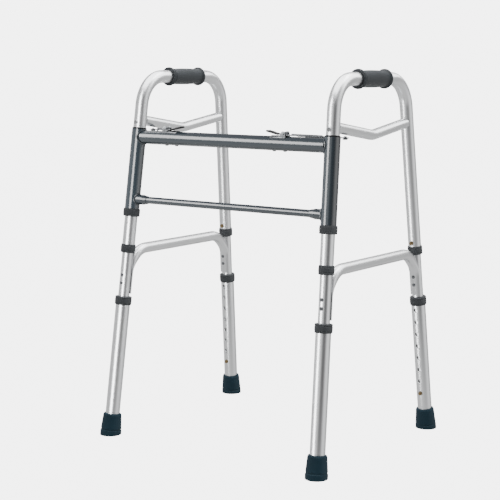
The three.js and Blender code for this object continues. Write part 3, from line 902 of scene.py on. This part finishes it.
for side, way in SIDES.items():
    leg = legs["front", side]
    sleeve_low = along("front", side, SLEEVE["bottom"])
    sleeve_high = along("front", side, SLEEVE["top"])
    sleeve = pipe(SLEEVE["outer"], SLEEVE["inner"], sleeve_low, sleeve_high)
    add(f"hinge_sleeve_{side}", sleeve, leg, "front_frame", PAINT)

    rim = along("front", side, BUSH_TOP)
    bush = turned(
        [
            (SLEEVE["inner"] - GAP, sleeve_high - 14),
            (SLEEVE["inner"] - GAP, sleeve_high + GAP),
            (SLEEVE["outer"] - 0.3, sleeve_high + GAP),
            (SLEEVE["outer"] - 0.3, rim - 0.8),
            (SLEEVE["outer"] - 1.1, rim),
            (COLLAR_BORE, rim),
            (COLLAR_BORE, sleeve_high - 14),
        ],
        0.3,
    )
    add(f"sleeve_bush_{side}", bush, leg, "front_frame", BLACK)

    low = along("front", side, SLEEVE_COLLAR["bottom"])
    high = along("front", side, SLEEVE_COLLAR["top"])
    radius = SLEEVE_COLLAR["radius"]
    collar = turned(
        [
            (radius - 1.3, low),
            (radius - 0.1, low + 1.6),
            (radius - 0.1, low + 3.4),
            (radius - 0.5, low + 3.9),
            (radius - 0.5, low + 4.5),
            (radius, low + 5),
            (radius, high - 4),
            (radius - 0.6, high),
            (SLEEVE["outer"] + GAP, high),
            (SLEEVE["outer"] + GAP, sleeve_low - GAP),
            (COLLAR_BORE, sleeve_low - GAP),
            (COLLAR_BORE, low),
        ],
        0.45,
    )
    add(f"sleeve_collar_{side}", collar, leg, "front_frame", COLLAR)

    saddle_low, saddle_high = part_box(f"lower_bar_saddle_{side}")
    length = (saddle_high.x - saddle_low.x) / MM
    socket = turned(
        [
            (SADDLE["radius"], 0),
            (SADDLE["radius"], length - 10),
            (8.6, length - 5),
            (SADDLE["neck"], length),
            (SADDLE["bore"], length),
            (SADDLE["bore"], 0),
        ],
        0.8,
    )
    root = Vector((saddle_high.x if way > 0 else saddle_low.x, lower_bar.y, lower_bar.z))
    inwards = Matrix.Rotation(-way * math.pi / 2, 4, "Y")
    add(
        f"lower_bar_saddle_{side}",
        cut(
            socket,
            moved(
                rod(SLEEVE["outer"] + 0.1, 300, 700, 64),
                in_millimetres((Matrix.Translation(root) @ inwards).inverted() @ leg),
            ),
        ),
        Matrix.Translation(root) @ inwards,
        "front_frame",
        PAINT,
    )
    for place, height, bead_radius in (
        ("upper", crossbar.z, CROSSBAR["radius"]),
        ("lower", lower_bar.z / MM, SADDLE["radius"]),
    ):
        add(
            f"weld_{place}_{side}",
            weld_mesh(side, height, bead_radius),
            Matrix.Identity(4),
            "front_frame",
            PAINT,
            extra=True,
        )

    bracket_place = Matrix.Translation(Vector((bracket_x(side), crossbar.y, crossbar.z)) * MM)
    add(f"lever_bracket_{side}", bracket_mesh(side), bracket_place, "front_frame", STEEL)
    pivot = Matrix.Translation(joints[f"lever_press_{side}"]["pos_m"])
    head = [(1.8, 9), (3, 9.2), (2.6, 10.2), (0, 10.2)]
    pin = turned([(r, -y) for r, y in head[::-1]] + head, 0.3, solid=True, sides=24)
    add(f"lever_pivot_pin_{side}", moved(pin, TO_Y), pivot, "front_frame", STEEL)
    add(f"release_lever_{side}", lever_mesh(side), pivot, f"lever_{side}", STEEL)
    add(f"lever_tab_{side}", tab_mesh(side), pivot, f"lever_{side}", BLACK, extra=True)
    centre = box_centre(f"lock_pin_{side}")
    base = Matrix.Translation((centre.x, centre.y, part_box(f"lock_pin_{side}")[0].z))
    add(f"lock_pin_{side}", lock_pin_mesh(side), base, f"lever_{side}", STEEL)


# ---------------------------------------------------------------- studio
FLOOR_DROP = 0.18  # the feet reach 0.175 m below their place at rest


def studio_white():
    material = bpy.data.materials.new("studio_white")
    material.use_nodes = True
    shader = material.node_tree.nodes["Principled BSDF"]
    shader.inputs["Base Color"].default_value = (0.9, 0.9, 0.9, 1)
    shader.inputs["Roughness"].default_value = 0.9
    shader.inputs["Emission Color"].default_value = (1, 1, 1, 1)
    shader.inputs["Emission Strength"].default_value = 5.0
    return material


def cyclorama():
    """Round floor that curves up into a low wall. The object doesn't mirror it."""
    radius, bend, height = 6.0, 1.2, 1.9
    outline = [(0, 0), (radius - bend, 0)]
    outline += arc(radius - bend, bend, bend, -90, 0, 12)
    outline.append((radius, height))
    rings = [
        [(0, 0, z)] if r < 1e-6 else [(x, y, z) for x, y in circle(r, 96)] for r, z in outline
    ]
    mesh = skin(rings, closed=False)
    mesh.flip_normals()
    mesh.shade_smooth()
    mesh.materials.append(studio_white())
    room = bpy.data.objects.new("studio", mesh)
    room.location.z = cad_low.z - FLOOR_DROP
    room.visible_glossy = False
    room.visible_diffuse = False
    bpy.context.scene.collection.objects.link(room)
    room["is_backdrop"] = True


def area_light(name, location, target, size, radiance, *lit_pieces):
    """Soft box that lights only the pieces whose names start with one of the words given."""
    data = bpy.data.lights.new(name, "AREA")
    data.shape = "RECTANGLE"
    data.size, data.size_y = size
    data.energy = radiance * math.pi * size[0] * size[1]
    lamp = bpy.data.objects.new(name, data)
    lamp.location = location
    lamp.rotation_euler = (Vector(target) - Vector(location)).to_track_quat("-Z", "Y").to_euler()
    lamp.visible_camera = False
    bpy.context.scene.collection.objects.link(lamp)
    lit = bpy.data.collections.new(f"lit_by_{name}")
    for piece in shown_pieces:
        if piece.name.startswith(lit_pieces):
            lit.objects.link(piece)
    lamp.light_linking.receiver_collection = lit


# ---------------------------------------------------------------- camera
CAMERA = {
    "location": Vector((1.4405, -2.1481, 0.7349)),
    "azimuth": math.radians(34.79),
    "down": math.radians(8.015),
    "roll": math.radians(0.417),
    "lens": 94.03,
}
camera_data = bpy.data.cameras.new("camera")
camera_data.lens = CAMERA["lens"]
camera_data.sensor_width = 36
camera = bpy.data.objects.new("camera", camera_data)
forward = Vector(
    (
        -math.sin(CAMERA["azimuth"]) * math.cos(CAMERA["down"]),
        math.cos(CAMERA["azimuth"]) * math.cos(CAMERA["down"]),
        -math.sin(CAMERA["down"]),
    )
)
right = forward.cross(Vector((0, 0, 1))).normalized()
turn = Matrix.Rotation(-CAMERA["roll"], 3, forward)
right = turn @ right
camera.matrix_world = (
    Matrix.Translation(CAMERA["location"])
    @ Matrix((right, right.cross(forward), -forward)).transposed().to_4x4()
)
bpy.context.scene.collection.objects.link(camera)
bpy.context.scene.camera = camera


WORLD_STRENGTH = 8


def studio_panorama():
    """World that the bright tubes mirror: soft boxes round the horizon, dim above and below."""
    facing = -90 + math.degrees(CAMERA["azimuth"])  # from the walker towards the camera
    # (degrees to the camera's left, brightness) of the boxes and of the dark gaps between them
    boxes = [
        (-170, 0.8),
        (-130, 0.45),
        (-108, 0.6),
        (-90, 1.3),
        (-62, 1.3),
        (-46, 0.6),
        (-32, 0.14),
        (2, 0.10),
        (12, 0.3),
        (24, 0.9),
        (50, 0.7),
        (66, 0.45),
        (100, 0.8),
        (140, 0.9),
        (165, 0.5),
    ]
    world = bpy.data.worlds.new("studio_panorama")
    world.use_nodes = True
    nodes, links = world.node_tree.nodes, world.node_tree.links
    place = nodes.new("ShaderNodeTexCoord")
    azimuth = nodes.new("ShaderNodeTexGradient")
    azimuth.gradient_type = "RADIAL"
    links.new(place.outputs["Generated"], azimuth.inputs["Vector"])
    horizon = nodes.new("ShaderNodeValToRGB")
    stops = sorted(
        (((facing - left) / 360 + 0.5) % 1, bright / WORLD_STRENGTH) for left, bright in boxes
    )
    ramp = horizon.color_ramp
    for element, (position, bright) in zip((ramp.elements[0], ramp.elements[1]), stops[:2]):
        element.position = position
        element.color = (bright, bright, bright, 1)
    for position, bright in stops[2:]:
        ramp.elements.new(position).color = (bright, bright, bright, 1)
    links.new(azimuth.outputs["Fac"], horizon.inputs["Fac"])
    height = nodes.new("ShaderNodeSeparateXYZ")
    links.new(place.outputs["Generated"], height.inputs["Vector"])
    up = nodes.new("ShaderNodeMapRange")
    up.inputs["From Min"].default_value = 0.35
    up.inputs["From Max"].default_value = 0.75
    links.new(height.outputs["Z"], up.inputs["Value"])
    ceiling = nodes.new("ShaderNodeMix")
    ceiling.data_type = "RGBA"
    ceiling.inputs["B"].default_value = (0.05, 0.05, 0.052, 1)
    links.new(up.outputs["Result"], ceiling.inputs["Factor"])
    links.new(horizon.outputs["Color"], ceiling.inputs["A"])
    down = nodes.new("ShaderNodeMapRange")
    down.inputs["From Min"].default_value = -0.12
    down.inputs["From Max"].default_value = -0.5
    links.new(height.outputs["Z"], down.inputs["Value"])
    floor = nodes.new("ShaderNodeMix")
    floor.data_type = "RGBA"
    floor.inputs["B"].default_value = (0.10, 0.10, 0.10, 1)
    links.new(down.outputs["Result"], floor.inputs["Factor"])
    links.new(ceiling.outputs["Result"], floor.inputs["A"])
    background = nodes["Background"]
    background.inputs["Strength"].default_value = WORLD_STRENGTH
    links.new(floor.outputs["Result"], background.inputs["Color"])
    bpy.context.scene.world = world


cyclorama()
# The groups of pieces that a light reaches, by the words their names start with
uprights = ("upper_tube", "mid_tube", "leg_tube", "hinge_sleeve")
moulded = ("hand_grip", "foot", "leg_collar", "upper_collar", "sleeve_collar", "sleeve_bush")
bars = ("main_crossbar", "lower_crossbar", "lower_bar_saddle", "weld")
fittings = ("release_lever", "lever_", "lock_pin")  # with brackets, pivot pins and tabs
metal = ("upper_tube", "mid_tube", "leg_tube", "side_bar", "brace")
area_light("strip", (-0.17, -0.82, 0.5), (0.05, 0, 0.5), (0.30, 1.6), 10, *uprights)
area_light("ceiling", (0, 0, 2.8), (0, 0, 0), (3.2, 3.2), 4.5, *metal, *moulded, *fittings)
area_light("bar_box", (-1.25, -1.75, 1.35), (0, -0.14, 0.59), (2.6, 1.3), 8, *bars, *fittings)
side_parts = ("brace", "side_bar", "upper_tube")
area_light("side_box", (1.0, 1.45, 2.15), (0, 0, 0.4), (2.4, 2.0), 4, *side_parts)
studio_panorama()

low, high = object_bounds()
